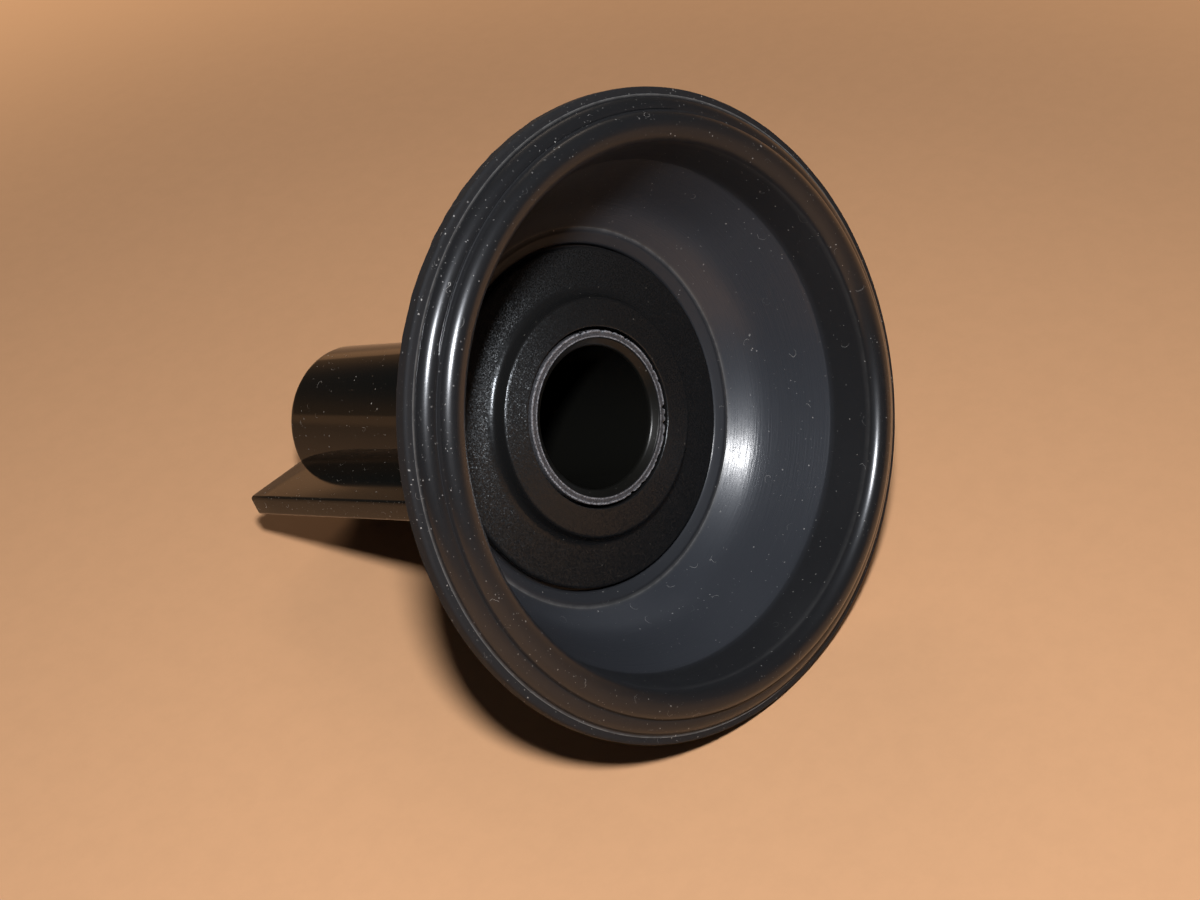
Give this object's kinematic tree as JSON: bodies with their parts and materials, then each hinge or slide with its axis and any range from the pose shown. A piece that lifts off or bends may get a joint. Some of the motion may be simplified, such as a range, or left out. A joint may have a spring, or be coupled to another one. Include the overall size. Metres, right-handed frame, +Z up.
{
  "type": "carburettor diaphragm slide",
  "caption": "Moulded carburettor slide with a closed tube and a flat guide plate, carrying a round cup-shaped rubber diaphragm held by a stepped ring.",
  "frame": {"origin": "on the table under the middle of the object's box, with the object lying as it comes to rest", "axes": "+Z up; the slide's axis lies in the YZ plane, its closed end towards +Y and its open mouth towards -Y and up by 23 degrees; +X along the width of the guide plate"},
  "size_m": [0.066, 0.0702, 0.0611],
  "materials": {
    "slide_plastic": "glossy moulded black, a rough grey edge round the mouth of the bore",
    "rubber": "smooth satin black rubber with a little dust",
    "ring_plastic": "satin black with a fine eroded texture"
  },
  "bodies": {
    "root": {"slide_body": "slide_plastic", "diaphragm": "rubber", "retaining_ring": "ring_plastic"}
  },
  "joints": []
}
